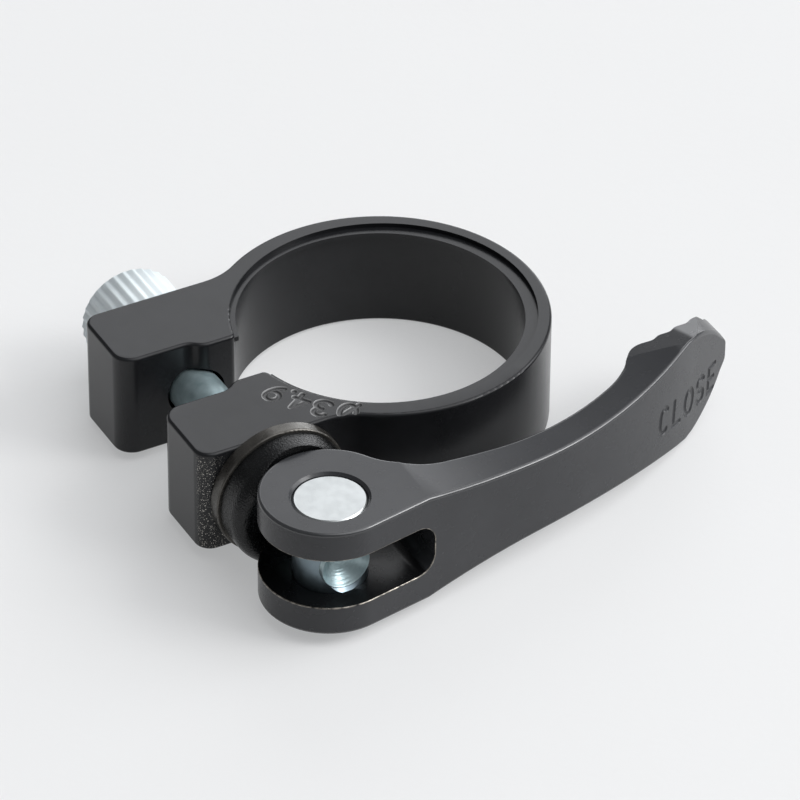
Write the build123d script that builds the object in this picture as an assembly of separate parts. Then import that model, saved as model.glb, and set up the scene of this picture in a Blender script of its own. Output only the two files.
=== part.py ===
from build123d import *

import os
from math import cos, pi, radians, sin, sqrt

# A quick-release seatpost clamp, in millimetres.
# The seat tube's axis is Z and the collar's lower face is z = 0.
# The ears reach towards -X, the skewer runs along Y, and the lever lies on the -Y side.

# Collar: the ring
bore_diameter = 34.9
ring_wall = 2.55
collar_height = 13.6
edge_round = 0.4

# Collar: the lip that stops on the end of the seat tube
lip_reach = 0.5
lip_thickness = 0.6
lip_depth = 0.55
recess_diameter = 36.0
recess_shift = 0.5

# Collar: the ears and the slot between them
skewer_from_bore = 4.45
ear_beyond_skewer = 9.4
ear_thickness = 10.45
tip_gap = 10.0
bore_gap = 7.6
gap_step_length = 3.0
ear_root_radius = 8.0
ear_back_radius = 2.0
ear_gap_radius = 2.4
slot_corner_radius = 0.8

# Skewer and the hole for it
skewer_diameter = 6.0
skewer_hole_diameter = 6.8
skewer_proud_of_nut = 1.2
skewer_end_chamfer = 0.6
thread_clearance = 0.03

# Washers on the near ear
washer_diameter = 16.6
washer_thickness = 1.7
washer_round = 0.2
washer_hole_clearance = 0.3
washer_seat_clearance = 0.2
saddle_diameter = 15.8
saddle_seat_thickness = 2.6
saddle_horn_height = 1.5
saddle_round = 1.6
seat_extra_radius = 2.0
cam_clearance = 0.06

# Pivot pin
pin_diameter = 8.6
pin_recess = 0.25
pin_chamfer = 0.25
pin_hole_clearance = 0.05
pin_dimple = 0.45

# Lever: the eccentric eye and its fork
eye_radius = 8.05
cam_throw = 1.03
cam_phase = 70.0
prong_thickness = 3.8
fork_gap = 6.6
fork_depth = 10.5
fork_end_radius = 2.4
eye_countersink = 0.3

# Lever: the arm and paddle in plan, placed along the outer edge from the eye and set in from it
arm_angle = 9.7
arm_to_bend = 38.6
bend_angle = 22.8
bend_radius = 71.0
paddle_length = 23.1
root_at = 6.4
root_thickness = 6.6
root_fillet = 8.0
middle_at = 21.3
middle_thickness = 4.8
waist_at = 40.0
waist_thickness = 4.25
pad_at = 46.3
pad_thickness = 5.65
first_wave_at = 50.2
first_wave_thickness = 5.6
last_wave_at = 58.9
last_wave_thickness = 2.45
wave_count = 4
wave_height = 0.4
tip_thickness = 2.6
tip_round = 0.7

# Lever: the arm and paddle from the side
waist_height = 10.1
waist_from_pin = 30.5
neck_arc_radius = 106.0
flare_arc_radius = 98.0
crest_from_pin = 50.6
crest_round = 2.5
tip_arc_radius = 11.1
nose_radius = 3.0

# Lever: the bevels on the finger pad, from the pad's start to the outer edge
bevel_angle = 17.0
bevel_start_width = 0.7
bevel_end_at = 51.0

# Thumb nut
nut_diameter = 12.2
nut_length = 7.3
nut_chamfer = 0.5
nut_gap = 0.05
nut_bore_clearance = 0.05
knurl_count = 30
knurl_depth = 0.38

# Sizes that follow from those above
bore_radius = bore_diameter / 2
ring_radius = bore_radius + ring_wall
lip_radius = bore_radius - lip_reach
skewer_x = -(bore_radius + skewer_from_bore)
ear_tip = ear_beyond_skewer - skewer_x
ear_face = tip_gap / 2 + ear_thickness
mid_height = collar_height / 2
skewer_radius = skewer_diameter / 2
pin_radius = pin_diameter / 2
head_height = fork_gap + 2 * prong_thickness
cam_center = (cam_throw * cos(radians(cam_phase)), cam_throw * sin(radians(cam_phase)))
seat_y = -(ear_face + washer_thickness + saddle_seat_thickness)
pin_y = seat_y - cam_clearance - eye_radius - cam_center[1]
through_all = 4 * (ring_radius + ear_tip)

# The washers stack outwards from this plane on the near ear, and the nut from the plane on the far ear.
near_ear = Plane(origin=(skewer_x, -ear_face, mid_height), x_dir=(1, 0, 0), z_dir=(0, -1, 0))
far_ear = Plane(origin=(skewer_x, ear_face, mid_height), x_dir=(1, 0, 0), z_dir=(0, 1, 0))
pin_place = Location((skewer_x, pin_y, mid_height))


def upright(radius, low, high):
    """A cylinder on the local Z axis between two heights."""
    base = (Align.CENTER, Align.CENTER, Align.MIN)
    return Pos(0, 0, low) * Cylinder(radius, high - low, align=base)


def slot_face():
    """The slot between the ears: wide at the tips, stepping in by two arcs to the gap at the bore."""
    wide = tip_gap / 2
    narrow = bore_gap / 2
    step_start = skewer_x - gap_step_length / 2
    step_end = skewer_x + gap_step_length / 2
    half_way = (skewer_x, (wide + narrow) / 2)
    with BuildSketch() as slot:
        with BuildLine():
            Line((-2 * ear_tip, 0), (-2 * ear_tip, wide))
            Line((-2 * ear_tip, wide), (step_start, wide))
            first = TangentArc((step_start, wide), half_way, tangent=(1, 0))
            TangentArc(half_way, (step_end, narrow), tangent=first % 1)
            Line((step_end, narrow), (0, narrow))
            Line((0, narrow), (0, 0))
            mirror(about=Plane.XZ)
        make_face()
    return slot.sketch


def collar():
    """The ring with its slot, lip and two ears, from one plan outline."""
    with BuildSketch() as outline:
        Circle(ring_radius)
        with Locations((-ear_tip / 2, 0)):
            Rectangle(ear_tip, 2 * ear_face)
        ends = outline.vertices().group_by(Axis.X)[0]
        fillet(ends, ear_back_radius)
        roots = outline.vertices().filter_by(lambda v: abs(abs(v.Y) - ear_face) < 0.01).group_by(Axis.X)[-1]
        fillet(roots, ear_root_radius)
        add(slot_face(), mode=Mode.SUBTRACT)
        tips = outline.vertices().filter_by(lambda v: abs(abs(v.Y) - tip_gap / 2) < 0.01).group_by(Axis.X)[0]
        fillet(tips, ear_gap_radius)
        Circle(bore_radius, mode=Mode.SUBTRACT)
        corners = outline.vertices().filter_by(lambda v: abs(abs(v.Y) - bore_gap / 2) < 0.01).group_by(Axis.X)[-1]
        fillet(corners, slot_corner_radius)
    body = extrude(outline.sketch, collar_height)
    rims = body.faces().sort_by(Axis.Z)
    body = fillet(rims[0].edges() + rims[-1].edges(), edge_round)
    ledge = collar_height - lip_depth
    lip = upright(bore_radius + ring_wall / 2, ledge - lip_thickness, ledge)
    lip -= upright(lip_radius, 0, collar_height)
    mouth = Box(2 * ear_tip, bore_gap + slot_corner_radius, 2 * collar_height)
    lip -= Pos(-ear_tip, 0, collar_height) * mouth
    body = body + lip - Pos(recess_shift, 0, 0) * upright(recess_diameter / 2, ledge, 2 * collar_height)
    body -= near_ear * upright(washer_diameter / 2 + washer_seat_clearance, 0, ear_root_radius)
    bolt_line = near_ear.offset(-ear_face)
    return body - bolt_line * Cylinder(skewer_hole_diameter / 2, through_all / 2)


def flat_washer():
    """The plain washer against the near ear."""
    disc = upright(washer_diameter / 2, 0, washer_thickness)
    disc = fillet(disc.edges(), washer_round)
    return near_ear * (disc - upright(skewer_radius + washer_hole_clearance, -1, washer_thickness + 1))


def saddle_washer():
    """The rounded washer with a hollow seat, wider than the cam, for the lever's eye."""
    low = washer_thickness
    high = washer_thickness + saddle_seat_thickness + saddle_horn_height
    disc = upright(saddle_diameter / 2, low, high)
    disc = fillet(disc.edges().sort_by(Axis.Z)[-1], saddle_round)
    seat_radius = eye_radius + seat_extra_radius
    seat_center = low + saddle_seat_thickness + seat_radius
    seat = Pos(cam_center[0], 0, seat_center) * Rot(90, 0, 0) * Cylinder(seat_radius, through_all)
    hole = upright(skewer_radius + washer_hole_clearance, 0, 2 * high)
    return near_ear * (disc - seat - hole)


def pivot_pin():
    """The pin that the lever turns on, with a cross hole for the skewer and a dimple at its mouth."""
    length = head_height - 2 * pin_recess
    body = upright(pin_radius, -length / 2, length / 2)
    body = chamfer(body.edges(), pin_chamfer)
    bore = skewer_radius + thread_clearance
    body -= Rot(90, 0, 0) * Cylinder(bore, 4 * pin_radius)
    mouth = Cone(bore, bore + 2 * pin_dimple, 2 * pin_dimple)
    body -= Pos(0, -pin_radius, 0) * Rot(90, 0, 0) * mouth
    return pin_place * body


def skewer():
    """The rod from the pin's outer side, through both ears, to just past the nut."""
    start = pin_y - pin_radius + pin_dimple
    end = ear_face + nut_gap + nut_length + skewer_proud_of_nut
    along = Plane(origin=(skewer_x, start, mid_height), x_dir=(1, 0, 0), z_dir=(0, 1, 0))
    rod = upright(skewer_radius, 0, end - start)
    return along * chamfer(rod.edges(), skewer_end_chamfer)


def adjuster_nut():
    """The thumb nut: a straight knurl between two bevelled ends."""
    crest = nut_diameter / 2
    root = crest - knurl_depth
    half_tooth = pi / knurl_count
    turns = [k * half_tooth for k in range(2 * knurl_count)]
    radii = [crest, root] * knurl_count
    points = [(r * cos(a), r * sin(a)) for r, a in zip(radii, turns)]
    body = extrude(make_face(Polyline(*points, close=True)), nut_length)
    body &= chamfer(upright(crest, 0, nut_length).edges(), nut_chamfer)
    body -= upright(skewer_radius + nut_bore_clearance, -1, nut_length + 1)
    return far_ear.offset(nut_gap) * body


def outer_edge():
    """The lever's outer edge from the eye to the tip: two straights joined by a large arc."""
    first = Vector(cos(radians(arm_angle)), sin(radians(arm_angle)))
    last = Vector(cos(radians(arm_angle + bend_angle)), sin(radians(arm_angle + bend_angle)))
    start = Vector(*cam_center) + eye_radius * Vector(first.Y, -first.X)
    bend = start + arm_to_bend * first
    tip = bend + paddle_length * last
    return FilletPolyline(start, bend, tip, radius=bend_radius)


def inside(edge, distance, thickness):
    """The point at a distance along the outer edge, set in by the arm's thickness there."""
    along = edge.tangent_at(distance, position_mode=PositionMode.LENGTH)
    return edge.position_at(distance, position_mode=PositionMode.LENGTH) + thickness * Vector(-along.Y, along.X)


def lever_plan():
    """The lever seen from above: the eye, the arm and the scalloped finger pad."""
    edge = outer_edge()
    root = inside(edge, root_at, root_thickness)
    middle = inside(edge, middle_at, middle_thickness)
    waist = inside(edge, waist_at, waist_thickness)
    pad = inside(edge, pad_at, pad_thickness)
    tip = inside(edge, edge.length, tip_thickness)
    waves = []
    for k in range(2 * wave_count):
        share = k / (2 * wave_count - 1)
        at = first_wave_at + share * (last_wave_at - first_wave_at)
        mean = first_wave_thickness + share * (last_wave_thickness - first_wave_thickness)
        waves.append(inside(edge, at, mean + (-1) ** k * wave_height / 2))
    with BuildSketch() as plan:
        with BuildLine():
            add(edge)
            Line(edge @ 1, tip)
            straight = Line(root, middle)
            arm = TangentArc(middle, waist, tangent=straight % 1)
            step = TangentArc(waist, pad, tangent=arm % 1)
            Spline(pad, *waves, tip, tangents=(step % 1, edge % 1))
            Line(root, cam_center)
            Line(cam_center, edge @ 0)
        make_face()
        fillet(plan.vertices().sort_by_distance(edge @ 1)[0], tip_round)
        fillet(plan.vertices().sort_by_distance(tip)[0], tip_round)
        with Locations(cam_center):
            Circle(eye_radius)
        armpit = [v for v in plan.vertices() if v.Y > cam_center[1] - eye_radius / 2]
        fillet(ShapeList(armpit).sort_by(Axis.X)[0], root_fillet)
    return plan.sketch


def half_height(x):
    """Half of the lever's height at a distance from the pin, along its flare."""
    return waist_height / 2 + flare_arc_radius - sqrt(flare_arc_radius**2 - (x - waist_from_pin) ** 2)


def lever_side():
    """The lever seen from the side: deep head, slim waist, flared paddle and rounded nose."""
    head = head_height / 2
    waist = waist_height / 2
    neck = waist_from_pin - sqrt(neck_arc_radius**2 - (neck_arc_radius - head + waist) ** 2)
    crest = half_height(crest_from_pin)
    tip = (outer_edge() @ 1).X
    back = -2 * eye_radius
    with BuildSketch(Plane.XZ) as side:
        with BuildLine():
            Line((back, 0), (back, head))
            Line((back, head), (neck, head))
            TangentArc((waist_from_pin, waist), (neck, head), tangent=(-1, 0))
            TangentArc((waist_from_pin, waist), (crest_from_pin, crest), tangent=(1, 0))
            RadiusArc((crest_from_pin, crest), (tip, 0), tip_arc_radius)
            mirror(about=Plane.XZ)
        make_face()
        nose = side.vertices().sort_by(Axis.X)[-1]
        fillet(nose, nose_radius)
        crests = [v for v in side.vertices() if abs(v.X - crest_from_pin) < 0.01]
        fillet(crests, crest_round)
    return side.sketch


def pad_bevel():
    """The wedge taken off the finger pad's upper inner edge, along a crease that runs out to the outer edge."""
    edge = outer_edge()
    start = inside(edge, pad_at, pad_thickness - bevel_start_width)
    end = inside(edge, bevel_end_at, 0)
    start = Vector(start.X, start.Y, half_height(start.X))
    end = Vector(end.X, end.Y, half_height(end.X))
    crease = end - start
    across = Vector(-crease.Y, crease.X, 0).normalized()
    down = cos(radians(bevel_angle)) * across - Vector(0, 0, sin(radians(bevel_angle)))
    place = Plane(origin=start, x_dir=crease, z_dir=crease.cross(down))
    wedge = Box(paddle_length, paddle_length, head_height, align=(Align.MIN, Align.MIN, Align.MIN))
    return place * (Pos(-pad_thickness / 2, 0, 0) * wedge)


def lever():
    """The lever: its plan and side outlines crossed, then the fork, the pin's hole and the pad's bevels."""
    body = extrude(lever_plan(), head_height / 2, both=True)
    body &= extrude(lever_side(), through_all / 2, both=True)
    bevel = pad_bevel()
    body -= bevel
    body -= mirror(bevel, about=Plane.XY)
    hole = pin_radius + pin_hole_clearance
    body -= upright(hole, -head_height, head_height)
    sink = Cone(hole, hole + 2 * eye_countersink, 2 * eye_countersink)
    body -= Pos(0, 0, head_height / 2) * sink
    body -= Pos(0, 0, -head_height / 2) * Rot(180, 0, 0) * sink
    with BuildSketch(Plane.XZ) as fork:
        with Locations((fork_depth, 0)):
            Rectangle(2 * eye_radius + 2 * fork_depth, fork_gap, align=(Align.MAX, Align.CENTER))
        ends = fork.vertices().group_by(Axis.X)[-1]
        fillet(ends, fork_end_radius)
    body -= extrude(fork.sketch, through_all / 2, both=True)
    return pin_place * body


def build():
    """Makes every piece, by its name."""
    return {
        "collar": collar(),
        "lever": lever(),
        "flat_washer": flat_washer(),
        "saddle_washer": saddle_washer(),
        "pivot_pin": pivot_pin(),
        "skewer": skewer(),
        "adjuster_nut": adjuster_nut(),
    }


os.makedirs("parts", exist_ok=True)
for name, piece in build().items():
    export_step(piece, f"parts/{name}.step")
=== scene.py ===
import logging
import math
from collections.abc import Callable
from dataclasses import dataclass, field
from enum import Enum

import bpy
from mathutils import Matrix, Vector


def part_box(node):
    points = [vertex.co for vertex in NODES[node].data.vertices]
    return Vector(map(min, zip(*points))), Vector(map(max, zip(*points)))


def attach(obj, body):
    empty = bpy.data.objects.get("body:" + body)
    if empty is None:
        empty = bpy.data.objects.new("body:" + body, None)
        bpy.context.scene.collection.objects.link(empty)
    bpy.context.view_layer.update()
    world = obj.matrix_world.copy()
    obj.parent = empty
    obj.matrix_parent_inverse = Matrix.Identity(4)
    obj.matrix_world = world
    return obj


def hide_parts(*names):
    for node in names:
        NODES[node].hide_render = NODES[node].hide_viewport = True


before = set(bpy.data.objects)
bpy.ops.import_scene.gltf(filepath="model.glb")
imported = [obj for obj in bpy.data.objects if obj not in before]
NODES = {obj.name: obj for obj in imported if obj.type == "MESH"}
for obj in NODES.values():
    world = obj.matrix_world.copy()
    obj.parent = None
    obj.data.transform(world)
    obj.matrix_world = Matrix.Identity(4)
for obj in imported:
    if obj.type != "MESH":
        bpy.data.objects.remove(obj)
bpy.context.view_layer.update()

# A quick-release seatpost clamp: its finishes, its lettering and thread, and the studio it lies in.
# Sizes in the classes are in millimetres and angles in degrees. Blender itself works in metres, and so do
# the floor's size and the key lamp's size and distance.

MM = 0.001
TOUCHING = 1e-6
LOG = logging.getLogger("clamp")

Colour = tuple[float, float, float]
Range = tuple[float, float]
Point = tuple[float, float, float]
Spot = tuple[float, float]
Stroke = tuple[Spot, ...]
Socket = bpy.types.NodeSocket

# The band that most of a noise pattern lies in, and the wave texture's scale times its rings' distance.
NOISE_BAND: Range = (0.3, 0.7)
RING_SCALE = 0.314

# The steps of a letter's round strokes: their angle and their least number.
BOW_STEP = 12.0
BOW_LEAST = 8

# Points on the skewer's axis, which runs along Y, and on the pin's, which runs along Z.
SKEWER_AXIS: Point = (-21.9, 0.0, 6.8)
PIN_AXIS: Point = (-21.9, -28.828, 0.0)


def metres(band: Range) -> Range:
    """Turns a range in millimetres into metres."""
    return band[0] * MM, band[1] * MM


class Around(Enum):
    """The axis that turning marks run around."""

    Y = "Y"
    Z = "Z"


class LeverSlot(Enum):
    """The lever's material slots, in the order of its finishes."""

    FORGED = 0
    RIM = 1
    WORN = 2


class Rim(Enum):
    """The lever's long rims, by the side of its middle height that they lie on."""

    LOWER = -1
    UPPER = 1


class RodEnd(Enum):
    """The skewer's ends, by the way along Y that they face."""

    PIN = -1
    NUT = 1


class Graph:
    """A material's nodes, added and joined by short calls."""

    def __init__(self, name: str) -> None:
        """Starts an empty tree with a Principled surface.

        Args:
            name: The material's name.
        """
        self.material = bpy.data.materials.new(name)
        self.material.use_nodes = True
        self.tree = self.material.node_tree
        self.surface = self.tree.nodes["Principled BSDF"]
        coordinates = self.add("ShaderNodeTexCoord").outputs
        self.place = coordinates["Object"]
        self.facing = coordinates["Normal"]

    def add(self, kind: str, **inputs: object) -> bpy.types.Node:
        """Adds a node and sets or joins its inputs.

        Args:
            kind: The node's type name.
            inputs: Values or output sockets, by input name with _ for a space.

        Returns:
            The new node.
        """
        node = self.tree.nodes.new(kind)
        for key, value in inputs.items():
            socket = node.inputs[key.replace("_", " ")]
            if isinstance(value, Socket):
                self.tree.links.new(value, socket)
            else:
                socket.default_value = value
        return node

    def noise(self, size: float, detail: float = 2.0) -> Socket:
        """Adds a noise pattern.

        Args:
            size: The size of its patches.
            detail: How many finer layers it has.

        Returns:
            The noise's value.
        """
        node = self.add("ShaderNodeTexNoise", Vector=self.place, Scale=1 / (size * MM), Detail=detail)
        return node.outputs["Fac"]

    def spread(self, value: Socket, source: Range, target: Range) -> Socket:
        """Maps a value from one range to another, smoothly and held at the ends.

        Args:
            value: The value's socket.
            source: Its range.
            target: The range that it is mapped to.

        Returns:
            The mapped value.
        """
        node = self.add(
            "ShaderNodeMapRange",
            Value=value,
            From_Min=source[0],
            From_Max=source[1],
            To_Min=target[0],
            To_Max=target[1],
        )
        node.interpolation_type = "SMOOTHSTEP"
        return node.outputs["Result"]

    def combine(self, first: Socket, second: Socket, operation: str) -> Socket:
        """Joins two values by a Math node.

        Args:
            first: The first value.
            second: The second value.
            operation: The Math node's operation.

        Returns:
            The result.
        """
        node = self.tree.nodes.new("ShaderNodeMath")
        node.operation = operation
        self.tree.links.new(first, node.inputs[0])
        self.tree.links.new(second, node.inputs[1])
        return node.outputs["Value"]

    def tint(self, value: Socket, dark: Colour, light: Colour) -> None:
        """Colours the surface between two tones.

        Args:
            value: The pattern, in the noise's band.
            dark: The tone at the pattern's low end.
            light: The tone at its high end.
        """
        ramp = self.add("ShaderNodeValToRGB", Fac=value)
        for element, position, tone in zip(ramp.color_ramp.elements, NOISE_BAND, (dark, light)):
            element.position = position
            element.color = (*tone, 1)
        self.join(ramp.outputs["Color"], "Base Color")

    def over(self, mask: Socket, tone: Colour) -> None:
        """Lays another tone over the surface's colour.

        Args:
            mask: Where the tone shows, 0 to 1.
            tone: The tone.
        """
        mix = self.tree.nodes.new("ShaderNodeMix")
        mix.data_type = "RGBA"
        below = self.surface.inputs["Base Color"].links[0].from_socket
        self.tree.links.new(mask, mix.inputs["Factor"])
        self.tree.links.new(below, mix.inputs["A"])
        mix.inputs["B"].default_value = (*tone, 1)
        self.join(mix.outputs["Result"], "Base Color")

    def join(self, value: Socket, name: str) -> None:
        """Joins a value to one of the surface's inputs."""
        self.tree.links.new(value, self.surface.inputs[name])

    def relief(self, height: Socket, depth: float, below: Socket | None = None) -> Socket:
        """Adds a bump.

        Args:
            height: The pattern, 0 to 1.
            depth: The height that 1 stands for.
            below: A normal that this bump adds to.

        Returns:
            The bumped normal.
        """
        node = self.add("ShaderNodeBump", Height=height, Distance=depth * MM)
        if below is not None:
            self.tree.links.new(below, node.inputs["Normal"])
        return node.outputs["Normal"]


@dataclass(frozen=True)
class Finish:
    """A surface with patchy tone, uneven gloss and a fine grain."""

    name: str
    dark: Colour
    light: Colour
    roughness: Range
    patch: float = 4.0
    grain: float = 0.09
    grain_depth: float = 0.0025
    metallic: float = 0.0
    ior: float = 1.5
    tone_detail: float = 4.0
    gloss_finer: float = 3.0
    gloss_detail: float = 3.0

    def graph(self) -> Graph:
        """Makes the nodes that every finish shares.

        Returns:
            The nodes, ready for more.
        """
        graph = Graph(self.name)
        graph.surface.inputs["Metallic"].default_value = self.metallic
        graph.surface.inputs["IOR"].default_value = self.ior
        graph.tint(graph.noise(self.patch, self.tone_detail), self.dark, self.light)
        gloss = graph.noise(self.patch / self.gloss_finer, self.gloss_detail)
        graph.join(graph.spread(gloss, NOISE_BAND, self.roughness), "Roughness")
        graph.join(graph.relief(graph.noise(self.grain), self.grain_depth), "Normal")
        return graph

    def material(self) -> bpy.types.Material:
        """Makes the material."""
        return self.graph().material


@dataclass(frozen=True)
class FloorFinish(Finish):
    """A pale paper that the camera and mirrors see a little whiter than its own shading."""

    white: Colour = (0.83, 0.84, 0.848)
    share: float = 0.43

    def material(self) -> bpy.types.Material:
        """Makes the material.

        Returns:
            The paper.
        """
        graph = self.graph()
        rays = graph.add("ShaderNodeLightPath")
        seen = graph.combine(rays.outputs["Is Camera Ray"], rays.outputs["Is Glossy Ray"], "MAXIMUM")
        seen = graph.combine(seen, rays.outputs["Is Transmission Ray"], "MAXIMUM")
        glow = graph.add("ShaderNodeEmission", Color=(*self.white, 1))
        blend = graph.add("ShaderNodeMixShader", Fac=graph.spread(seen, (0, 1), (0, self.share)))
        graph.tree.links.new(graph.surface.outputs["BSDF"], blend.inputs[1])
        graph.tree.links.new(glow.outputs["Emission"], blend.inputs[2])
        graph.tree.links.new(blend.outputs["Shader"], graph.tree.nodes["Material Output"].inputs["Surface"])
        return graph.material


@dataclass(frozen=True)
class SawnCornerFinish(Finish):
    """A satin finish whose ear has one rough corner with crumbs, and painted glints there: bright metallic
    specks laid over its colour.
    """

    corner_y: Range = (-14.4, -13.8)
    corner_x: Range = (-28.6, -27.6)
    corner_z: Range = (12.6, 13.3)
    crumb: float = 0.22
    crumb_depth: float = 0.09
    crumb_detail: float = 3.0
    glint: float = 0.13
    glint_detail: float = 1.0
    glint_share: Range = (0.645, 0.7)
    painted_glint_tone: Colour = (0.75, 0.72, 0.66)

    def material(self) -> bpy.types.Material:
        """Makes the material.

        Returns:
            The satin material with crumbs and painted glints at the corner.
        """
        graph = self.graph()
        axes = graph.add("ShaderNodeSeparateXYZ", Vector=graph.place)
        near = graph.spread(axes.outputs["Y"], metres(self.corner_y), (1, 0))
        back = graph.spread(axes.outputs["X"], metres(self.corner_x), (1, 0))
        side = graph.spread(axes.outputs["Z"], metres(self.corner_z), (1, 0))
        corner = graph.combine(graph.combine(near, back, "MULTIPLY"), side, "MULTIPLY")
        crumbs = graph.combine(graph.noise(self.crumb, self.crumb_detail), corner, "MULTIPLY")
        fine = graph.relief(graph.noise(self.grain), self.grain_depth)
        graph.join(graph.relief(crumbs, self.crumb_depth, fine), "Normal")
        # Painted glints: sparse bright metallic specks laid over the colour of the corner.
        specks = graph.spread(graph.noise(self.glint, self.glint_detail), self.glint_share, (0, 1))
        glints = graph.combine(specks, corner, "MULTIPLY")
        graph.over(glints, self.painted_glint_tone)
        graph.join(glints, "Metallic")
        return graph.material


@dataclass(frozen=True)
class GrooveFinish(Finish):
    """A dark engraved groove with a painted highlight, a pale tone, on its edges where it meets the surface.
    """

    edge_height: Range = (13.48, 13.56)
    lip_highlight_tone: Colour = (0.2, 0.2, 0.2)

    def material(self) -> bpy.types.Material:
        """Makes the material.

        Returns:
            The groove's finish, with its painted highlight on the edges.
        """
        graph = self.graph()
        axes = graph.add("ShaderNodeSeparateXYZ", Vector=graph.place)
        # Painted highlight: the groove's top lips are painted pale, by height.
        edge = graph.spread(axes.outputs["Z"], metres(self.edge_height), (0, 1))
        graph.over(edge, self.lip_highlight_tone)
        return graph.material


@dataclass(frozen=True)
class LeverFinish(Finish):
    """A forged finish that is dull on the flare, with a painted highlight on the nose beyond it and painted
    shade in the slot.
    """

    flare_x: Range = (-20.0, 7.0)
    flare_end: Range = (28.8, 30.4)
    flare_gloss: Range = (0.5, 0.12)
    nose_x: Range = (29.4, 30.1)
    nose_highlight_tone: Colour = (0.22, 0.222, 0.227)
    slot_below: Range = (10.0, 10.3)
    slot_shade_tone: Colour = (0.004, 0.0042, 0.0046)
    facing_up: Range = (0.8, 0.93)
    facing_back: Range = (0.1, 0.25)

    def material(self) -> bpy.types.Material:
        """Makes the material.

        Returns:
            The forged finish with its dull flare, its painted nose highlight and its painted slot shade.
        """
        graph = self.graph()
        axes = graph.add("ShaderNodeSeparateXYZ", Vector=graph.place).outputs
        along = axes["X"]
        facing = graph.add("ShaderNodeSeparateXYZ", Vector=graph.facing).outputs
        upward = graph.spread(facing["Z"], self.facing_up, (0, 1))
        flare = graph.spread(along, metres(self.flare_x), (0, 1))
        before_nose = graph.spread(along, metres(self.flare_end), (1, 0))
        dull = graph.combine(graph.combine(flare, before_nose, "MULTIPLY"), upward, "MULTIPLY")
        graph.join(graph.spread(dull, (0, 1), self.flare_gloss), "Specular IOR Level")
        backward = graph.spread(facing["Y"], self.facing_back, (0, 1))
        # Painted highlight: the nose beyond the pad is painted paler where it faces up and back.
        nose_highlight_mask = graph.spread(along, metres(self.nose_x), (0, 1))
        leaning = graph.combine(upward, backward, "MULTIPLY")
        graph.over(graph.combine(nose_highlight_mask, leaning, "MULTIPLY"), self.nose_highlight_tone)
        # Painted shade: the upward faces low in the fork's slot, between the prongs, are painted near black.
        slot = graph.spread(axes["Z"], metres(self.slot_below), (1, 0))
        graph.over(graph.combine(slot, upward, "MULTIPLY"), self.slot_shade_tone)
        return graph.material


@dataclass(frozen=True)
class TurnedFinish(Finish):
    """A bright turned metal with fine rings around an axis."""

    axis: Around = Around.Z
    centre: Point = (0.0, 0.0, 0.0)
    ring: float = 0.3
    ring_depth: float = 0.006
    ring_waver: float = 1.5
    ring_detail: float = 2.0
    ring_detail_scale: float = 2.0

    def graph(self) -> Graph:
        """Adds turning rings to the shared nodes.

        Returns:
            The nodes, ready for more.
        """
        graph = super().graph()
        shift = graph.add("ShaderNodeMapping", Vector=graph.place)
        shift.inputs["Location"].default_value = [-v * MM for v in self.centre]
        wave = graph.add(
            "ShaderNodeTexWave",
            Vector=shift.outputs["Vector"],
            Scale=RING_SCALE / (self.ring * MM),
            Distortion=self.ring_waver,
            Detail=self.ring_detail,
            Detail_Scale=self.ring_detail_scale,
        )
        wave.wave_type = "RINGS"
        wave.rings_direction = self.axis.value
        fine = graph.relief(graph.noise(self.grain), self.grain_depth)
        graph.join(graph.relief(wave.outputs["Fac"], self.ring_depth, fine), "Normal")
        return graph


@dataclass(frozen=True)
class PinFinish(TurnedFinish):
    """A turned pin with bright ends and painted shade, darker and bluish, on its shank between the prongs.
    """

    shank_below: Range = (10.6, 11.4)
    shank_shade_tone: Colour = (0.2, 0.25, 0.28)

    def graph(self) -> Graph:
        """Paints shade, darker and bluish, on the shank between the prongs.

        Returns:
            The nodes, ready for more.
        """
        graph = super().graph()
        # Painted shade: the shank below the upper prong is painted darker and bluish.
        height = graph.add("ShaderNodeSeparateXYZ", Vector=graph.place).outputs["Z"]
        graph.over(graph.spread(height, metres(self.shank_below), (1, 0)), self.shank_shade_tone)
        return graph


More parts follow.
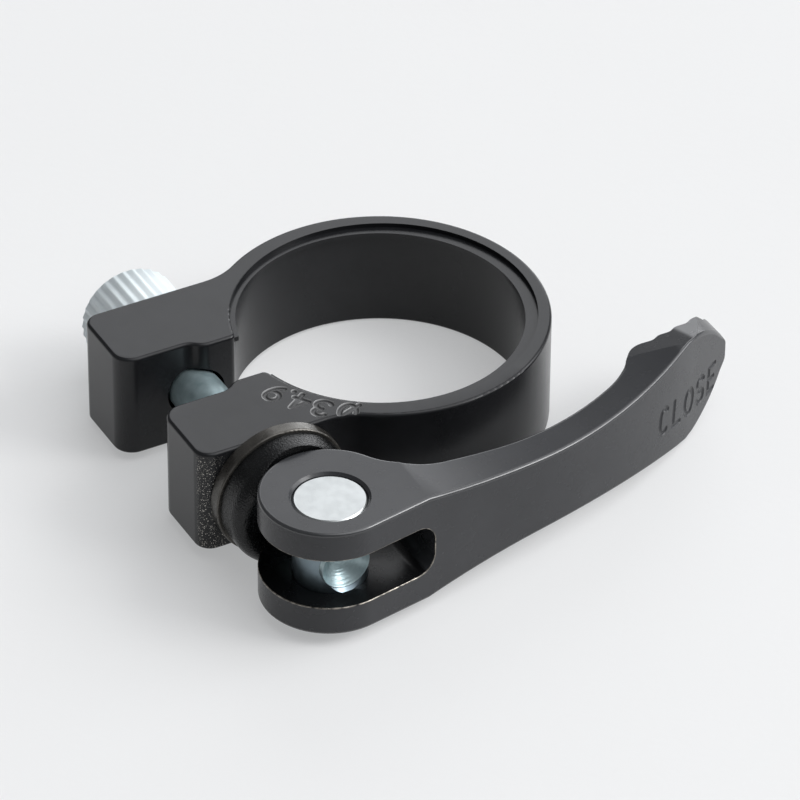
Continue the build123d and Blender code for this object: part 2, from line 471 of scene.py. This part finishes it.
class Bench:
    """The modelling moves that several pieces share."""

    @staticmethod
    def only(piece: bpy.types.Object) -> None:
        """Selects one piece alone and makes it active.

        Args:
            piece: The piece.
        """
        bpy.ops.object.select_all(action="DESELECT")
        piece.select_set(True)
        bpy.context.view_layer.objects.active = piece

    @staticmethod
    def copy_of(node: str, name: str) -> bpy.types.Object:
        """Copies a CAD node's mesh into a new piece and merges its loose triangles.

        Args:
            node: The CAD node's name.
            name: The new piece's name.

        Returns:
            The new piece, closed and with no split normals.
        """
        piece = bpy.data.objects.new(name, NODES[node].data.copy())
        bpy.context.scene.collection.objects.link(piece)
        Bench.only(piece)
        piece.data.materials.clear()
        bpy.ops.mesh.customdata_custom_splitnormals_clear()
        bpy.ops.object.mode_set(mode="EDIT")
        bpy.ops.mesh.select_all(action="SELECT")
        bpy.ops.mesh.remove_doubles(threshold=TOUCHING)
        bpy.ops.object.mode_set(mode="OBJECT")
        return piece

    @staticmethod
    def modify(piece: bpy.types.Object, kind: str, **settings: object) -> None:
        """Adds a modifier and applies it.

        Args:
            piece: The piece.
            kind: The modifier's type.
            settings: Its settings, by name.
        """
        Bench.only(piece)
        bpy.ops.object.modifier_add(type=kind)
        modifier = piece.modifiers[-1]
        for key, value in settings.items():
            setattr(modifier, key, value)
        bpy.ops.object.modifier_apply(modifier=modifier.name)

    @staticmethod
    def smooth(piece: bpy.types.Object, angle: float = 32.0) -> None:
        """Shades a piece smooth up to an angle.

        Args:
            piece: The piece.
            angle: The sharpest angle that still looks round.
        """
        Bench.only(piece)
        bpy.ops.object.shade_smooth_by_angle(angle=math.radians(angle))

    @staticmethod
    def seat(piece: bpy.types.Object, node: str, body: str, slot: str) -> None:
        """Puts a piece in the place of a CAD node.

        Args:
            piece: The piece.
            node: The node that it stands for.
            body: The body that it moves with.
            slot: Not used.
        """
        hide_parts(node)
        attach(piece, body)
        LOG.info("%s: %d faces", piece.name, len(piece.data.polygons))

    @staticmethod
    def dress(node: str, material: bpy.types.Material) -> None:
        """Gives a CAD node a material.

        Args:
            node: The node's name.
            material: The material.
        """
        NODES[node].material_slots[0].material = material
        LOG.info("%s: %s", node, material.name)


@dataclass(frozen=True)
class Mark:
    """A letter or figure to engrave: its middle, its reading direction and the way it faces."""

    letter: str
    middle: Vector
    reading: Vector
    facing: Vector


def bow(centre: Spot, reach: Spot, start: float, end: float) -> Stroke:
    """Draws a round stroke of a letter in a box of one by one.

    Args:
        centre: The middle of its ellipse.
        reach: The ellipse's half width and half height.
        start: The angle that it starts at.
        end: The angle that it ends at.

    Returns:
        The stroke's points.
    """
    steps = max(BOW_LEAST, round(abs(end - start) / BOW_STEP))
    angles = [math.radians(start + (end - start) * k / steps) for k in range(steps + 1)]
    return tuple((centre[0] + reach[0] * math.cos(a), centre[1] + reach[1] * math.sin(a)) for a in angles)


STROKES: dict[str, tuple[Stroke, ...]] = {
    "C": (bow((0.45, 0.7), (0.4, 0.3), 40, 180) + bow((0.45, 0.3), (0.4, 0.3), 180, 320),),
    "L": (((0.1, 1), (0.1, 0)), ((0.1, 0), (0.9, 0))),
    "O": (bow((0.5, 0.5), (0.5, 0.5), 0, 360),),
    "S": (bow((0.5, 0.75), (0.45, 0.25), 30, 270), bow((0.5, 0.25), (0.45, 0.25), 90, -150)),
    "E": (((0.1, 1), (0.1, 0)), ((0.1, 0), (0.85, 0)), ((0.1, 0.5), (0.75, 0.5)), ((0.1, 1), (0.85, 1))),
    "Ø": (bow((0.5, 0.5), (0.5, 0.5), 0, 360), ((-0.05, -0.05), (1.05, 1.05))),
    "3": (bow((0.45, 0.76), (0.4, 0.24), 150, -90), bow((0.45, 0.27), (0.5, 0.27), 90, -150)),
    "4": (((0.7, 0), (0.7, 1)), ((0.7, 1), (0, 0.32)), ((0, 0.32), (1, 0.32))),
    ".": (((0.5, 0),),),
    "9": (bow((0.5, 0.7), (0.45, 0.3), 0, 360), bow((0.1, 0.7), (0.85, 0.7), 0, -75)),
}


@dataclass
class Engraver:
    """Cuts letters into a piece with a round cutter that follows their strokes."""

    height: float
    width: float
    groove_width: float
    depth: float
    groove: bpy.types.Material | None = None
    tube_steps: int = 12
    ball_segments: int = 32
    ball_rings: int = 20

    @property
    def radius(self) -> float:
        """The cutter's radius, from the groove's width and depth."""
        return (self.groove_width**2 / 4 + self.depth**2) / (2 * self.depth)

    def place(self, mark: Mark, spot: Spot) -> Vector:
        """Finds where the cutter's middle is at a spot of a letter.

        Args:
            mark: The letter and its place.
            spot: The spot in the letter's box.

        Returns:
            The place in metres.
        """
        across = mark.reading * ((spot[0] - 0.5) * self.width)
        upward = mark.facing.cross(mark.reading) * ((spot[1] - 0.5) * self.height)
        return mark.middle + (across + upward + mark.facing * (self.radius - self.depth)) * MM

    def tube(self, mark: Mark, stroke: Stroke) -> bpy.types.Object:
        """Makes the room that the cutter takes along one stroke.

        Args:
            mark: The letter and its place.
            stroke: The stroke.

        Returns:
            A closed tube.
        """
        line = bpy.data.curves.new("stroke", "CURVE")
        line.dimensions = "3D"
        line.bevel_depth = self.radius * MM
        line.bevel_resolution = self.tube_steps
        line.use_fill_caps = True
        closed = math.dist(stroke[0], stroke[-1]) < TOUCHING
        points = stroke[:-1] if closed else stroke
        spline = line.splines.new("POLY")
        spline.points.add(len(points) - 1)
        spline.use_cyclic_u = closed
        for point, spot in zip(spline.points, points):
            point.co = (*self.place(mark, spot), 1)
        tube = bpy.data.objects.new("stroke", line)
        bpy.context.scene.collection.objects.link(tube)
        Bench.only(tube)
        bpy.ops.object.convert(target="MESH")
        tube = bpy.context.object
        bpy.ops.object.mode_set(mode="EDIT")
        bpy.ops.mesh.select_all(action="SELECT")
        bpy.ops.mesh.remove_doubles(threshold=TOUCHING)
        bpy.ops.mesh.normals_make_consistent(inside=False)
        bpy.ops.object.mode_set(mode="OBJECT")
        return tube

    def ball(self, mark: Mark, spot: Spot) -> bpy.types.Object:
        """Makes the room that the cutter takes at a stroke's end.

        Args:
            mark: The letter and its place.
            spot: The end in the letter's box.

        Returns:
            A ball.
        """
        bpy.ops.object.select_all(action="DESELECT")
        bpy.ops.mesh.primitive_uv_sphere_add(
            segments=self.ball_segments,
            ring_count=self.ball_rings,
            radius=self.radius * MM,
            location=self.place(mark, spot),
        )
        bpy.ops.object.transform_apply(location=True, rotation=True, scale=True)
        return bpy.context.object

    def take_off(self, piece: bpy.types.Object, room: bpy.types.Object) -> None:
        """Takes the cutter's room off a piece.

        Args:
            piece: The piece to cut.
            room: The room, removed afterwards.
        """
        mode = "INDEX"
        if self.groove is not None:
            room.data.materials.append(self.groove)
            mode = "TRANSFER"
        Bench.modify(
            piece, "BOOLEAN", operation="DIFFERENCE", object=room, solver="MANIFOLD", material_mode=mode
        )
        bpy.data.objects.remove(room)

    def cut(self, piece: bpy.types.Object, marks: list[Mark]) -> None:
        """Engraves the marks.

        Args:
            piece: The piece to cut.
            marks: The letters.
        """
        for mark in marks:
            for stroke in STROKES[mark.letter]:
                if len(stroke) > 1:
                    self.take_off(piece, self.tube(mark, stroke))
                if math.dist(stroke[0], stroke[-1]) > TOUCHING:
                    self.take_off(piece, self.ball(mark, stroke[-1]))
                self.take_off(piece, self.ball(mark, stroke[0]))


@dataclass
class Collar:
    """The split ring with its ears, and the bore's size engraved beside the near ear."""

    top: float = 13.6
    figures: tuple[tuple[str, float, float], ...] = (
        ("Ø", 19.75, -129.0),
        ("3", 19.9, -138.0),
        ("4", 19.8, -146.0),
        (".", 19.8, -150.6),
        ("9", 19.95, -155.4),
    )
    figure_height: float = 2.8
    figure_width: float = 1.85
    groove_width: float = 0.85
    groove_depth: float = 0.16
    finish: Finish = SawnCornerFinish(
        "satin_black", (0.009, 0.0094, 0.0105), (0.013, 0.0135, 0.015), (0.235, 0.255), ior=1.38
    )
    groove: Finish = GrooveFinish(
        "engraved_groove", (0.012, 0.012, 0.013), (0.02, 0.02, 0.02), (0.25, 0.35), 0.5
    )

    def marks(self) -> list[Mark]:
        """Works out the size mark's places, tops outwards along the bore.

        Returns:
            The figures.
        """
        marks = []
        upward = Vector((0, 0, 1))
        for figure, radius, angle in self.figures:
            turn = math.radians(angle)
            outward = Vector((math.cos(turn), math.sin(turn), 0))
            middle = (outward * radius + upward * self.top) * MM
            marks.append(Mark(figure, middle, outward.cross(upward), upward))
        return marks

    def build(self) -> None:
        """Engraves a copy of the CAD collar and dresses it."""
        piece = Bench.copy_of("collar", "collar_body")
        piece.data.materials.append(self.finish.material())
        groove = self.groove.material()
        tool = Engraver(self.figure_height, self.figure_width, self.groove_width, self.groove_depth, groove)
        tool.cut(piece, self.marks())
        Bench.smooth(piece)
        Bench.modify(piece, "WEIGHTED_NORMAL", keep_sharp=True)
        Bench.seat(piece, "collar", "collar", "black_anodised")


@dataclass
class Lever:
    """The forged lever, with softened edges and the word on its outer face."""

    pin: Point = (*PIN_AXIS[:2], SKEWER_AXIS[2])
    outer_start: Spot = (1.708, -6.967)
    arm_angle: float = 9.7
    bend_angle: float = 22.8
    arm_to_bend: float = 38.6
    paddle_length: float = 23.1
    bend_radius: float = 71.0
    word: tuple[tuple[str, float, float], ...] = (
        ("C", 15.6, 5.9),
        ("L", 12.75, 5.5),
        ("O", 9.95, 5.15),
        ("S", 7.05, 4.98),
        ("E", 4.1, 4.9),
    )
    letter_height: float = 3.4
    letter_width: float = 1.95
    groove_width: float = 0.74
    groove_depth: float = 0.2
    word_slope: float = -5.0
    flat_angle: float = 0.4
    edge_angle: float = 45.0
    edge_round: float = 0.38
    slot_round: float = 0.12
    edge_steps: int = 6
    rim_above: float = 5.0
    rim_end: float = 28.0
    crest: tuple[Range, ...] = ((28.1, 29.45), (29.45, 30.5))
    crest_band: float = 0.45
    rim_band: float = 0.03
    tip_band: float = 0.35
    front_gap: float = 2.0
    slot_end: float = 0.0
    pad_corner: Spot = (21.3, -20.5)
    hole_reach: float = 5.0
    smooth_angle: float = 18.0
    finish: Finish = LeverFinish(
        "forged_black", (0.029, 0.03, 0.0325), (0.035, 0.036, 0.039), (0.25, 0.28), 6.0, ior=1.4
    )
    rim: Finish = Finish(
        "burnished_rim", (0.026, 0.027, 0.029), (0.034, 0.035, 0.038), (0.2, 0.26), 6.0, ior=1.7
    )
    worn: Finish = Finish("worn_edge", (0.03, 0.03, 0.03), (0.5, 0.46, 0.4), (0.25, 0.35), 0.7, metallic=1.0)

    def outer_face(self, from_tip: float) -> tuple[Vector, float]:
        """Finds a point on the outer face, back from the tip along its straight and then its bend.

        Args:
            from_tip: The distance from the tip.

        Returns:
            The point in plan and the face's direction there.
        """
        first = math.radians(self.arm_angle)
        last = math.radians(self.arm_angle + self.bend_angle)
        corner = Vector(self.outer_start) + self.arm_to_bend * Vector((math.cos(first), math.sin(first)))
        straight = self.paddle_length - self.bend_radius * math.tan((last - first) / 2)
        along = Vector((math.cos(last), math.sin(last)))
        tip = corner + self.paddle_length * along
        if from_tip <= straight:
            return tip - from_tip * along, last
        turned = (from_tip - straight) / self.bend_radius
        centre = tip - straight * along + self.bend_radius * Vector((-along.y, along.x))
        angle = last - turned
        return centre + self.bend_radius * Vector((math.sin(angle), -math.cos(angle))), angle

    def marks(self) -> list[Mark]:
        """Works out the word's places on the outer face.

        Returns:
            The letters.
        """
        marks = []
        for letter, from_tip, height in self.word:
            spot, angle = self.outer_face(from_tip)
            facing = Vector((math.sin(angle), -math.cos(angle), 0))
            reading = Vector((math.cos(angle), math.sin(angle), 0))
            reading = Matrix.Rotation(math.radians(self.word_slope), 3, facing) @ reading
            middle = Vector((spot.x + self.pin[0], spot.y + self.pin[1], height))
            marks.append(Mark(letter, middle * MM, reading, facing))
        return marks

    def off_face(self, spot: Vector) -> float:
        """Measures how far a place lies in front of the paddle's flat outer face.

        Args:
            spot: The place.

        Returns:
            The distance, negative behind the face.
        """
        tip, angle = self.outer_face(0)
        return (spot.xy - Vector(self.pin[:2]) - tip).dot(Vector((math.sin(angle), -math.cos(angle))))

    def on_rim(self, spot: Vector) -> bool:
        """Tells whether a place lies on the long rims or the outer face's tip, clear of the pad.

        Args:
            spot: The middle of an edge.

        Returns:
            True for an edge to round.
        """
        off_middle = abs(spot.z - self.pin[2])
        if spot.x > self.rim_end:
            return abs(self.off_face(spot)) < self.tip_band and off_middle > self.front_gap
        pad = spot.x > self.pad_corner[0] and spot.y > self.pad_corner[1]
        return off_middle > self.rim_above and not pad

    def on_slot(self, spot: Vector) -> bool:
        """Tells whether a place lies on the edges of the fork's slot.

        Args:
            spot: The middle of an edge.

        Returns:
            True for an edge to round.
        """
        return abs(spot.z - self.pin[2]) < self.rim_above and spot.x < self.slot_end

    def round_edges(
        self, piece: bpy.types.Object, wanted: Callable[[Vector], bool], width: float, slot: LeverSlot
    ) -> None:
        """Rounds the wanted sharp edges outside the pin's hole.

        Args:
            piece: The lever.
            wanted: Tells by an edge's middle whether it is rounded.
            width: The round's width on each side.
            slot: The material slot of the new faces.
        """
        bpy.ops.object.mode_set(mode="EDIT")
        bpy.ops.mesh.select_mode(type="EDGE")
        bpy.ops.mesh.select_all(action="DESELECT")
        bpy.ops.mesh.edges_select_sharp(sharpness=math.radians(self.edge_angle))
        bpy.ops.object.mode_set(mode="OBJECT")
        points = piece.data.vertices
        chosen = []
        for edge in piece.data.edges:
            middle = (points[edge.vertices[0]].co + points[edge.vertices[1]].co) / (2 * MM)
            from_pin = math.hypot(middle.x - self.pin[0], middle.y - self.pin[1])
            chosen.append(edge.select and from_pin > self.hole_reach and wanted(middle))
        for element in (*piece.data.polygons, *points):
            element.select = False
        for edge, pick in zip(piece.data.edges, chosen):
            edge.select = pick
        bpy.ops.object.mode_set(mode="EDIT")
        bpy.ops.mesh.bevel(
            offset=width * MM,
            segments=self.edge_steps,
            affect="EDGES",
            clamp_overlap=False,
            material=slot.value,
        )
        bpy.ops.object.mode_set(mode="OBJECT")

    def join_crest(self, piece: bpy.types.Object, stretch: Range, side: Rim) -> None:
        """Joins the close points at the outer face's crest into one on the rim, for an even round.

        Args:
            piece: The lever.
            stretch: The X range of the points.
            side: The rim that they lie on.
        """
        near = []
        for point in piece.data.vertices:
            spot = point.co / MM
            off = abs(self.off_face(spot))
            level = side.value * (spot.z - self.pin[2])
            if stretch[0] < spot.x < stretch[1] and level > self.rim_above and off < self.crest_band:
                near.append((point, off))
        on_face = [point.co.copy() for point, off in near if off < self.rim_band]
        middle = sum(on_face, Vector()) / len(on_face)
        for element in (*piece.data.polygons, *piece.data.edges, *piece.data.vertices):
            element.select = False
        for point, _ in near:
            point.co = middle
            point.select = True
        bpy.ops.object.mode_set(mode="EDIT")
        bpy.ops.mesh.select_mode(type="VERT")
        bpy.ops.mesh.merge(type="CENTER")
        bpy.ops.object.mode_set(mode="OBJECT")

    def soften(self, piece: bpy.types.Object) -> None:
        """Joins the flats' triangles and the crests' points, then rounds the rims and the slot's edges.

        Args:
            piece: The merged lever.
        """
        bpy.ops.object.mode_set(mode="EDIT")
        bpy.ops.mesh.select_all(action="SELECT")
        bpy.ops.mesh.dissolve_limited(angle_limit=math.radians(self.flat_angle))
        bpy.ops.object.mode_set(mode="OBJECT")
        for stretch in self.crest:
            for side in Rim:
                self.join_crest(piece, stretch, side)
        self.round_edges(piece, self.on_rim, self.edge_round, LeverSlot.RIM)
        self.round_edges(piece, self.on_slot, self.slot_round, LeverSlot.WORN)

    def build(self) -> None:
        """Softens a copy of the CAD lever, engraves and dresses it."""
        piece = Bench.copy_of("lever", "lever_forging")
        for finish in (self.finish, self.rim, self.worn):
            piece.data.materials.append(finish.material())
        self.soften(piece)
        tool = Engraver(self.letter_height, self.letter_width, self.groove_width, self.groove_depth)
        tool.cut(piece, self.marks())
        Bench.smooth(piece, self.smooth_angle)
        Bench.modify(piece, "WEIGHTED_NORMAL", keep_sharp=True)
        Bench.seat(piece, "lever", "lever", "black_forged")


@dataclass
class WasherStack:
    """The steel washer and the rough black saddle under the lever's eye."""

    washer: Finish = TurnedFinish(
        "washer_steel", (0.052, 0.049, 0.044), (0.105, 0.099, 0.09), (0.22, 0.32), 2.5,
        metallic=0.65, axis=Around.Y, centre=SKEWER_AXIS, ring=0.25,
    )
    saddle: Finish = Finish(
        "saddle_black", (0.002, 0.0022, 0.0025), (0.006, 0.0065, 0.007), (0.18, 0.32), 0.8,
        grain=0.22, grain_depth=0.08, ior=1.38,
    )

    def build(self) -> None:
        """Dresses both washers."""
        Bench.dress("flat_washer", self.washer.material())
        Bench.dress("saddle_washer", self.saddle.material())


@dataclass
class SkewerAndPin:
    """The plated skewer with its thread, and the pin that it screws into."""

    axis: Spot = (SKEWER_AXIS[0], SKEWER_AXIS[2])
    radius: float = 3.0
    thread_from: float = 13.0
    thread_core: float = 2.5
    pitch: float = 1.0
    ridge: tuple[Spot, ...] = ((2.4, -0.44), (3.0, -0.07), (3.0, 0.07), (2.4, 0.44))
    chamfer: float = 0.6
    end_round: float = 0.06
    end_steps: int = 3
    dish_radius: float = 2.9
    dish_depth: float = 1.8
    dish_rings: int = 12
    sides: int = 64
    pin: Finish = PinFinish(
        "plated_pin", (0.45, 0.468, 0.468), (0.48, 0.498, 0.498), (0.3, 0.36), 3.0,
        metallic=1.0, grain_depth=0.0008, centre=PIN_AXIS, ring=0.35, ring_depth=0.0006,
    )
    rod: Finish = TurnedFinish(
        "plated_skewer", (0.28, 0.37, 0.39), (0.42, 0.525, 0.545), (0.32, 0.42), 1.4,
        metallic=0.65, axis=Around.Y, centre=SKEWER_AXIS, ring=0.3, ring_depth=0.012,
    )

    def rod_mesh(self, start: float, end: float) -> bpy.types.Object:
        """Models the plain rod with its thinner, threaded end.

        Args:
            start: The rod's lowest Y.
            end: Its highest Y.

        Returns:
            The rod.
        """
        bpy.ops.object.select_all(action="DESELECT")
        bpy.ops.mesh.primitive_cylinder_add(
            vertices=self.sides,
            radius=self.radius * MM,
            depth=(self.thread_from - start) * MM,
            location=(self.axis[0] * MM, (self.thread_from + start) / 2 * MM, self.axis[1] * MM),
            rotation=(-math.pi / 2, 0, 0),
        )
        rod = bpy.context.object
        rod.name = "skewer_rod"
        bpy.ops.object.transform_apply(location=True, rotation=True, scale=True)
        bpy.ops.object.mode_set(mode="EDIT")
        bpy.ops.mesh.select_mode(type="FACE")
        self.pick(rod, RodEnd.NUT)
        bpy.ops.mesh.inset(thickness=(self.radius - self.thread_core) * MM)
        reach = (0, (end - self.thread_from) * MM, 0)
        bpy.ops.mesh.extrude_region_move(TRANSFORM_OT_translate={"value": reach})
        for tip, width in ((RodEnd.NUT, self.chamfer / 2), (RodEnd.PIN, self.end_round)):
            self.pick(rod, tip)
            bpy.ops.mesh.bevel(offset=width * MM, segments=self.end_steps, affect="EDGES")
        self.pick(rod, RodEnd.PIN)
        step = self.dish_radius / (self.dish_rings + 1)
        for ring in range(self.dish_rings):
            sink = self.dish_depth * (1 - (2 * ring + 1) / (2 * self.dish_rings))
            bpy.ops.mesh.inset(thickness=step * MM)
            bpy.ops.transform.translate(value=(0, 2 * sink / self.dish_rings * MM, 0))
        bpy.ops.object.mode_set(mode="OBJECT")
        return rod

    @staticmethod
    def pick(rod: bpy.types.Object, tip: RodEnd) -> None:
        """Selects the rod's face at one end.

        Args:
            rod: The rod, in edit mode.
            tip: The end.
        """
        bpy.ops.mesh.select_all(action="DESELECT")
        bpy.ops.object.mode_set(mode="OBJECT")
        last = max(rod.data.polygons, key=lambda face: tip.value * face.center.y)
        last.select = True
        bpy.ops.object.mode_set(mode="EDIT")

    def ridge_mesh(self, end: float) -> bpy.types.Object:
        """Winds one thread ridge around the rod's thin end.

        Args:
            end: The rod's highest Y.

        Returns:
            The ridge.
        """
        mesh = bpy.data.meshes.new("thread_ridge")
        corners = [(r * MM, y * MM, 0) for r, y in self.ridge]
        mesh.from_pydata(corners, [(0, 1), (1, 2), (2, 3), (3, 0)], [])
        ridge = bpy.data.objects.new("thread_ridge", mesh)
        bpy.context.scene.collection.objects.link(ridge)
        first = self.thread_from + self.pitch / 2
        turns = math.floor((end - first - self.chamfer / 2) / self.pitch)
        Bench.modify(
            ridge, "SCREW", axis="Y", angle=2 * math.pi, screw_offset=self.pitch * MM,
            iterations=turns, steps=self.sides, render_steps=self.sides, use_merge_vertices=False,
        )
        ridge.location = (self.axis[0] * MM, first * MM, self.axis[1] * MM)
        bpy.ops.object.transform_apply(location=True, rotation=True, scale=True)
        bpy.ops.object.mode_set(mode="EDIT")
        bpy.ops.mesh.select_all(action="SELECT")
        bpy.ops.mesh.fill_holes(sides=0)
        bpy.ops.mesh.normals_make_consistent(inside=False)
        bpy.ops.object.mode_set(mode="OBJECT")
        return ridge

    def build(self) -> None:
        """Models the threaded skewer and dresses it and the pin."""
        low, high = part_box("skewer")
        rod = self.rod_mesh(low.y / MM, high.y / MM)
        ridge = self.ridge_mesh(high.y / MM)
        Bench.modify(rod, "BOOLEAN", operation="UNION", object=ridge, solver="MANIFOLD")
        bpy.data.objects.remove(ridge)
        rod.data.materials.clear()
        rod.data.materials.append(self.rod.material())
        Bench.smooth(rod)
        Bench.seat(rod, "skewer", "skewer", "zinc_steel")
        Bench.dress("pivot_pin", self.pin.material())


@dataclass
class ThumbNut:
    """The knurled nut behind the far ear."""

    finish: Finish = TurnedFinish(
        "plated_nut", (0.69, 0.755, 0.775), (0.74, 0.795, 0.81), (0.5, 0.6), 2.0,
        metallic=0.1, axis=Around.Y, centre=SKEWER_AXIS, ring=0.4, ring_depth=0.003,
    )
    knurl_angle: float = 70.0

    def build(self) -> None:
        """Dresses a copy of the CAD nut whose worn knurl is shaded smooth."""
        piece = Bench.copy_of("adjuster_nut", "thumb_nut")
        piece.data.materials.append(self.finish.material())
        Bench.smooth(piece, self.knurl_angle)
        Bench.seat(piece, "adjuster_nut", "nut", "nut_zinc")


@dataclass(frozen=True)
class SkyPatch:
    """A soft patch of sky, with the angles where it is full and gone and its glow outside and inside."""

    toward: Point
    full: float
    gone: float
    outside: float
    inside: float

    def glow(self, tree: bpy.types.NodeTree, toward: Socket) -> Socket:
        """Adds the patch's nodes to the world.

        Args:
            tree: The world's nodes.
            toward: The direction that is looked in.

        Returns:
            The patch's glow.
        """
        near = tree.nodes.new("ShaderNodeVectorMath")
        near.operation = "DOT_PRODUCT"
        tree.links.new(toward, near.inputs[0])
        near.inputs[1].default_value = Vector(self.toward).normalized()
        edge = tree.nodes.new("ShaderNodeMapRange")
        edge.interpolation_type = "SMOOTHSTEP"
        tree.links.new(near.outputs["Value"], edge.inputs["Value"])
        edge.inputs["From Min"].default_value = math.cos(math.radians(self.gone))
        edge.inputs["From Max"].default_value = math.cos(math.radians(self.full))
        edge.inputs["To Min"].default_value = self.outside
        edge.inputs["To Max"].default_value = self.inside
        return edge.outputs["Result"]


@dataclass
class Studio:
    """The pale floor that the clamp rests on, the soft light and the camera."""

    floor_slope: Spot = (0.01974, 0.02659)
    floor_height: float = -0.6489
    floor_size: float = 6.0
    floor_cells: int = 8
    patches: tuple[SkyPatch, ...] = (
        SkyPatch((0.45, -0.30, 0.84), 18.0, 46.0, 0.2, 2.2),
        SkyPatch((0.48, 0.70, 0.53), 11.0, 22.0, 0.0, 1.88),
        SkyPatch((0.66, 0.75, 0.05), 8.0, 18.0, 0.0, 3.2),
        SkyPatch((0.90, -0.15, 0.40), 8.0, 18.0, 0.0, 3.5),
    )
    sky_tint: Colour = (0.97, 0.985, 1.01)
    key_toward: Point = (0.60, -0.50, 0.62)
    key_distance: float = 1.1
    key_size: float = 0.42
    key_watts: float = 5.0
    look_at: Point = (2.67, -0.05, 0.0)
    azimuth: float = -28.69
    elevation: float = 36.494
    roll: float = 0.446
    distance: float = 700.0
    lens: float = 266.57
    nearest: float = 10.0
    paper: Finish = FloorFinish(
        "floor_paper", (0.795, 0.79, 0.785), (0.805, 0.80, 0.795), (0.6, 0.7), 40.0,
        grain=1.2, grain_depth=0.02,
    )

    def floor(self) -> None:
        """Lays the floor in the plane that the clamp rests on."""
        bpy.ops.object.select_all(action="DESELECT")
        bpy.ops.mesh.primitive_grid_add(
            x_subdivisions=self.floor_cells, y_subdivisions=self.floor_cells, size=self.floor_size
        )
        floor = bpy.context.object
        floor.name = "floor"
        upward = Vector((-self.floor_slope[0], -self.floor_slope[1], 1))
        floor.rotation_euler = upward.to_track_quat("Z", "Y").to_euler()
        floor.location = (0, 0, self.floor_height * MM)
        floor.data.materials.append(self.paper.material())

    def light(self) -> None:
        """Makes a dim dome with soft bright patches, and one key lamp."""
        scene = bpy.context.scene
        scene.world = bpy.data.worlds.new("studio")
        scene.world.use_nodes = True
        tree = scene.world.node_tree
        toward = tree.nodes.new("ShaderNodeTexCoord").outputs["Generated"]
        total = self.patches[0].glow(tree, toward)
        for patch in self.patches[1:]:
            both = tree.nodes.new("ShaderNodeMath")
            tree.links.new(total, both.inputs[0])
            tree.links.new(patch.glow(tree, toward), both.inputs[1])
            total = both.outputs["Value"]
        sky = tree.nodes["Background"]
        sky.inputs["Color"].default_value = (*self.sky_tint, 1)
        tree.links.new(total, sky.inputs["Strength"])
        away = Vector(self.key_toward).normalized()
        bpy.ops.object.select_all(action="DESELECT")
        bpy.ops.object.light_add(type="AREA", location=away * self.key_distance)
        lamp = bpy.context.object
        lamp.name = "key"
        lamp.rotation_euler = away.to_track_quat("Z", "Y").to_euler()
        lamp.data.size = self.key_size
        lamp.data.energy = self.key_watts

    def camera(self) -> None:
        """Puts the camera where the photograph was taken from."""
        turn = math.radians(self.azimuth)
        rise = math.radians(self.elevation)
        back = Vector((math.sin(turn) * math.cos(rise), -math.cos(turn) * math.cos(rise), math.sin(rise)))
        data = bpy.data.cameras.new("camera")
        data.lens = self.lens
        data.clip_start = self.nearest * MM
        camera = bpy.data.objects.new("camera", data)
        bpy.context.scene.collection.objects.link(camera)
        spin = back.to_track_quat("Z", "Y").to_matrix() @ Matrix.Rotation(math.radians(self.roll), 3, "Z")
        place = (Vector(self.look_at) + back * self.distance) * MM
        camera.matrix_world = Matrix.Translation(place) @ spin.to_4x4()
        bpy.context.scene.camera = camera

    def build(self) -> None:
        """Sets the whole studio up."""
        self.floor()
        self.light()
        self.camera()
        bpy.context.scene.view_settings.view_transform = "Standard"


@dataclass
class Clamp:
    """The whole clamp, one sub-assembly after another."""

    collar: Collar = field(default_factory=Collar)
    lever: Lever = field(default_factory=Lever)
    washers: WasherStack = field(default_factory=WasherStack)
    skewer: SkewerAndPin = field(default_factory=SkewerAndPin)
    nut: ThumbNut = field(default_factory=ThumbNut)

    def build(self) -> None:
        """Builds and dresses every piece."""
        for part in (self.collar, self.lever, self.washers, self.skewer, self.nut):
            part.build()


def main() -> None:
    """Builds the clamp and its studio."""
    logging.basicConfig(level=logging.INFO, format="%(name)s: %(message)s")
    Clamp().build()
    Studio().build()


if __name__ == "__main__":
    main()
